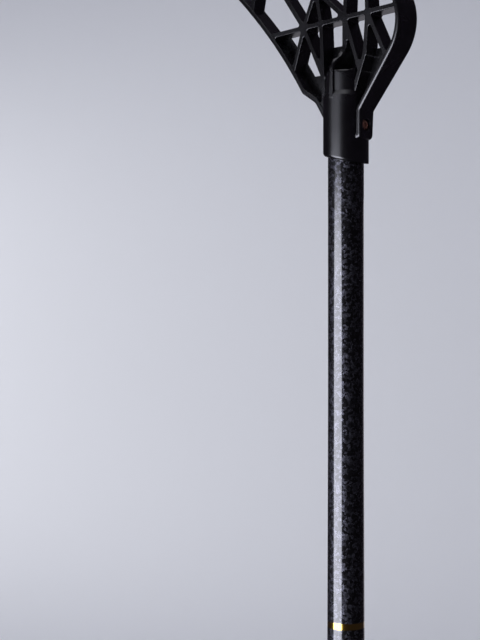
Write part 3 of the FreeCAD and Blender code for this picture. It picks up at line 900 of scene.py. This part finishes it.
@dataclass
class Grip:
    """The strip wound on the handle: each turn lies over the edge of the turn below it."""

    radius_mm: float = 14.95
    inner_mm: float = 13.3
    low_mm: float = 5.0
    high_mm: float = 293.0
    tail_radius_mm: float = 13.85
    tail_mm: float = 305.0
    tail_start_mm: float = 0.3
    pitch_mm: float = 27.0
    fall_mm: float = 0.55
    fall_start: float = 0.2
    fall_length: float = 0.6
    edge_mm: float = 0.6
    upper_round_mm: float = 2.0
    lower_round_mm: float = 1.0
    lower_start: float = 0.5
    holes_round: int = 22
    holes_across: int = 6
    rows: int = 560
    columns: int = 112
    wrap: PerforatedPolyurethane = field(default_factory=PerforatedPolyurethane)

    def turns(self, angle: np.ndarray, height: np.ndarray) -> np.ndarray:
        """Place across the strip: height in pitches less the share of a turn, whole at the strip's edge."""
        return height / self.pitch_mm - angle / (2 * np.pi)

    def radius(self, angle: np.ndarray, height: np.ndarray) -> np.ndarray:
        """Radius of the wrap.

        Each strip starts with a rounded edge on the strip below, then falls by a smooth step until the next
        edge begins at the same radius. Both ends are rounded off by quarter ellipses.

        Args:
            angle: angles round the handle.
            height: heights in millimetres.

        Returns:
            Radii in millimetres.
        """
        share = self.turns(angle, height) % 1.0
        fall = self.fall_mm * smooth_step((share - self.fall_start) / self.fall_length)
        edge = self.fall_mm * np.exp(-share * self.pitch_mm / self.edge_mm)
        upper = np.sqrt(np.clip((self.high_mm - height) / self.upper_round_mm, 0, 1))
        lower = np.sqrt(np.clip((height - self.low_mm) / self.lower_round_mm, 0, 1))
        rise = np.minimum(upper, self.lower_start + (1 - self.lower_start) * lower)
        ends = self.tail_radius_mm + (self.radius_mm - self.tail_radius_mm) * rise
        return np.minimum(self.radius_mm - fall - edge, ends)

    def strip_uv(self, around: np.ndarray, up: np.ndarray) -> np.ndarray:
        """UV of the strip, in which each hole has a unit square: along the strip, and across it.

        Args:
            around: angles of the grid of points, with both ends of the turn.
            up: their heights in millimetres.

        Returns:
            Two values for each corner of each face, in the order of the faces.
        """
        lean = math.atan2(self.pitch_mm, 2 * np.pi * self.radius_mm)
        along = around * self.radius_mm * math.cos(lean) + up * math.sin(lean)
        step = 2 * np.pi * self.radius_mm * math.cos(lean) / self.holes_round
        strip = np.stack([along / step, self.turns(around, up) * self.holes_across], axis=-1)
        strip = np.vstack([strip, strip[:1]])
        return np.stack([strip[:-1, :-1], strip[:-1, 1:], strip[1:, 1:], strip[1:, :-1]], axis=2).ravel()

    def build(self) -> None:
        """Makes the wrap: its radius over a grid of angle and height, closed by its tail and its bore."""
        angle = np.linspace(0, 2 * np.pi, self.columns + 1)
        outside = np.linspace(self.low_mm, self.high_mm, self.rows)
        closing = [self.high_mm + self.tail_start_mm, self.tail_mm, self.tail_mm, self.low_mm]
        around, up = np.meshgrid(angle, np.concatenate([outside, closing]))
        radius = np.vstack([
            self.radius(around[:self.rows], up[:self.rows]),
            np.full((2, self.columns + 1), self.tail_radius_mm),
            np.full((2, self.columns + 1), self.inner_mm)])
        points = about_z(radius[:, :-1], around[:, :-1], up[:, :-1]) * MM
        obj = place_mesh("grip_wrap", points, ring_faces(len(up), self.columns, joined=True))
        obj.data.uv_layers.new(name="strip").data.foreach_set("uv", self.strip_uv(around, up))
        seat(obj, self.wrap.build(), "grip")


@dataclass
class FinishingTape:
    """Layers of tape over the wrap's tail and down onto the tube."""

    low_mm: float = 293.0
    step_mm: float = 305.05
    high_mm: float = 315.0
    over_tail_mm: float = 13.9
    over_tube_mm: float = 13.3
    thickness_mm: float = 0.3
    drop_start_mm: float = 0.5
    drop_length_mm: float = 4.0
    edge_mm: float = 0.2
    edge_fade_mm: float = 0.15
    end_mm: float = 0.12
    rows: int = 90
    columns: int = 160
    vinyl: VinylTape = field(default_factory=VinylTape)

    def build(self) -> None:
        """Makes the tape: a smooth step in radius along Z, less a spiral that ends in one upright edge."""
        angle = np.linspace(0, 2 * np.pi, self.columns, endpoint=False)
        around, up = np.meshgrid(angle, np.linspace(self.low_mm, self.high_mm, self.rows))
        slide = smooth_step((up - self.step_mm + self.drop_start_mm) / self.drop_length_mm)
        drop = (self.over_tail_mm - self.over_tube_mm) * slide
        rim = np.minimum(up - self.low_mm, self.high_mm - up)
        edge = self.edge_mm * np.exp(-rim / self.edge_fade_mm)
        outer = self.over_tail_mm + self.thickness_mm - drop - edge - self.end_mm * around / (2 * np.pi)
        inside = [(self.over_tube_mm, self.high_mm), (self.over_tube_mm, self.step_mm),
                  (self.over_tail_mm, self.step_mm), (self.over_tail_mm, self.low_mm)]
        points = np.vstack([about_z(outer, around, up) * MM, lathe(np.array(inside) * MM, self.columns)])
        faces = ring_faces(self.rows + len(inside), self.columns, joined=True)
        seat(place_mesh("grip_tape", points, faces), self.vinyl.build(), "grip_band")


@dataclass
class EndCap:
    """The plug in the tube's end: a head with a rounded edge and a hollow stem."""

    head_mm: float = 14.65
    head_height_mm: float = 5.0
    edge_mm: float = 1.5
    edge_points: int = 9
    lip_mm: float = 0.3
    stem_mm: float = 11.9
    hollow_mm: float = 9.9
    top_mm: float = 39.0
    columns: int = 128
    rubber: MouldedRubber = field(default_factory=MouldedRubber)

    def build(self) -> None:
        """Makes the plug: a quarter circle from its flat end to its side, then the stem, turned about Z."""
        head, height = self.head_mm, self.head_height_mm
        upper = [(head, height - self.lip_mm), (head - self.lip_mm, height),
                 (self.stem_mm, height), (self.stem_mm, self.top_mm),
                 (self.hollow_mm, self.top_mm), (self.hollow_mm, height)]
        profile = np.vstack([quarter_round(head - self.edge_mm, self.edge_mm, self.edge_points), upper])
        faces = ring_faces(len(profile), self.columns, filled=(0, -1))
        obj = place_mesh("end_plug", lathe(profile * MM, self.columns), faces)
        seat(obj, self.rubber.build(), "end_cap")


def hang(data: bpy.types.Light, place: Point, aim: Point, mirrored: Mirrored) -> bpy.types.Object:
    """Hangs a lamp so that it faces a point.

    Args:
        data: the lamp.
        place: where it hangs, in metres.
        aim: the point that it faces.
        mirrored: whether glossy surfaces show it.

    Returns:
        The linked object.
    """
    obj = bpy.data.objects.new(data.name, data)
    away = np.subtract(place, aim)
    tip = math.atan2(np.hypot(away[0], away[1]), away[2])
    obj.location = place
    obj.rotation_euler = (tip, 0.0, math.atan2(away[1], away[0]) + math.pi / 2)
    obj.visible_glossy = mirrored.value
    bpy.context.collection.objects.link(obj)
    return obj


@dataclass(frozen=True)
class SoftPanel:
    """A broad soft lamp that shows in gloss, but not to the camera."""

    name: str
    place_m: Point
    aim_m: Point
    size_m: Span
    watts: float
    tint: str

    def build(self) -> None:
        """Hangs the panel."""
        data = bpy.data.lights.new(self.name, "AREA")
        data.shape = "RECTANGLE"
        data.size, data.size_y = self.size_m
        data.energy = self.watts
        data.color = linear(self.tint)[:3]
        hang(data, self.place_m, self.aim_m, Mirrored.YES).visible_camera = False


@dataclass(frozen=True)
class LightPool:
    """A lamp that throws a wide soft pool of light on the cove and shows in no gloss."""

    name: str
    place_m: Point
    aim_m: Point
    watts: float
    spread: float = math.radians(80)
    blend: float = 1.0
    size_m: float = 0.3

    def build(self) -> None:
        """Hangs the lamp."""
        data = bpy.data.lights.new(self.name, "SPOT")
        data.energy = self.watts
        data.spot_size = self.spread
        data.spot_blend = self.blend
        data.shadow_soft_size = self.size_m
        hang(data, self.place_m, self.aim_m, Mirrored.NO)


@dataclass
class Studio:
    """A round cove, a softbox at the camera's left, a panel overhead, a bounce behind and a lit wall."""

    camera_mm: Point = (592.2, -681.4, 802.0)
    camera_turn: float = math.radians(45.5)
    lens_mm: float = 75.6
    sensor_mm: float = 36.0
    sight_m: float = 50.0
    cove_m: float = 5.0
    cove_bend_m: float = 2.8
    cove_bend_points: int = 25
    cove_middle_m: float = 0.05
    cove_columns: int = 96
    wall_m: float = 5.0
    softbox_half_m: Span = (0.62, 0.7)
    softbox_away_m: float = 1.2
    softbox_turn: float = math.radians(13.0)
    softbox_height_m: float = 0.285
    room: str = "#26222a"
    room_strength: float = 1.4
    cloth: DiffusionCloth = field(default_factory=DiffusionCloth)
    paint: PaintedCove = field(default_factory=PaintedCove)
    overhead: SoftPanel = SoftPanel(
        "overhead_panel", (-1.2, -0.4, 6.0), (-1.2, -0.4, 0.0), (6.0, 6.0), 182.0, "#f4f6ff")
    bounce: SoftPanel = SoftPanel(
        "back_bounce", (-1.1, 1.8, 0.4), (0.0, 0.0, 0.8), (2.2, 1.4), 4.0, "#f6f4ff")
    glow: LightPool = LightPool("backdrop_glow", (-3.7, -0.3, 2.2), (-3.2, 3.1, 0.1), 175.0)

    def build_camera(self) -> None:
        """Sets the camera level, at the height and angle of the photograph."""
        data = bpy.data.cameras.new("camera")
        data.lens = self.lens_mm
        data.sensor_width = self.sensor_mm
        data.clip_end = self.sight_m
        camera = bpy.data.objects.new("camera", data)
        camera.location = [value * MM for value in self.camera_mm]
        camera.rotation_euler = (math.pi / 2, 0.0, self.camera_turn)
        bpy.context.collection.objects.link(camera)
        bpy.context.scene.camera = camera

    def build_cove(self) -> None:
        """Makes the cove: a flat floor, a quarter circle and a wall, turned about Z."""
        curve = quarter_round(self.cove_m - self.cove_bend_m, self.cove_bend_m, self.cove_bend_points)
        profile = np.vstack([[(self.cove_m, self.wall_m)], curve[::-1], [(self.cove_middle_m, 0.0)]])
        faces = ring_faces(len(profile), self.cove_columns, filled=(-1,))
        cove = place_mesh("studio_cove", lathe(profile, self.cove_columns), faces)
        cove.data.materials.append(self.paint.build())
        cove.visible_glossy = Mirrored.NO.value

    def build_softbox(self) -> None:
        """Makes the softbox: a flat upright cloth that faces the shaft, with its own UV in metres."""
        half = np.array(self.softbox_half_m)
        flat = np.array([(-1, -1), (1, -1), (1, 1), (-1, 1)]) * (half + self.cloth.seam_m)
        across, away = math.cos(self.softbox_turn), math.sin(self.softbox_turn)
        middle = np.array([-away, -across, 0.0]) * self.softbox_away_m
        middle[2] = self.softbox_height_m
        sideways, upwards = np.array([(across, -away, 0.0), (0.0, 0.0, 1.0)])
        points = middle + flat[:, :1] * sideways + flat[:, 1:] * upwards
        panel = place_mesh("left_softbox", points, [[3, 2, 1, 0]])
        panel.data.uv_layers.new(name="cloth").data.foreach_set("uv", flat[::-1].ravel())
        panel.data.materials.append(self.cloth.build(*half))
        panel.visible_camera = False
        panel.visible_diffuse = False
        panel.visible_shadow = False

    def build_room(self) -> None:
        """Sets the dim light from all sides, and colours shown as they are."""
        world = bpy.data.worlds.new("dark_room")
        world.use_nodes = True
        background = world.node_tree.nodes["Background"]
        background.inputs["Color"].default_value = linear(self.room)
        background.inputs["Strength"].default_value = self.room_strength
        bpy.context.scene.world = world
        bpy.context.scene.view_settings.view_transform = "Standard"

    def build(self) -> None:
        """Makes camera, cove and light."""
        self.build_camera()
        self.build_cove()
        self.build_softbox()
        self.overhead.build()
        self.bounce.build()
        self.glow.build()
        self.build_room()


def main() -> None:
    """Builds the stick from blade to butt, then the studio."""
    logging.basicConfig(level=logging.INFO, format="%(name)s: %(message)s")
    Blade().build()
    Shaft().build()
    Grip().build()
    FinishingTape().build()
    EndCap().build()
    Studio().build()


if __name__ == "__main__":
    main()
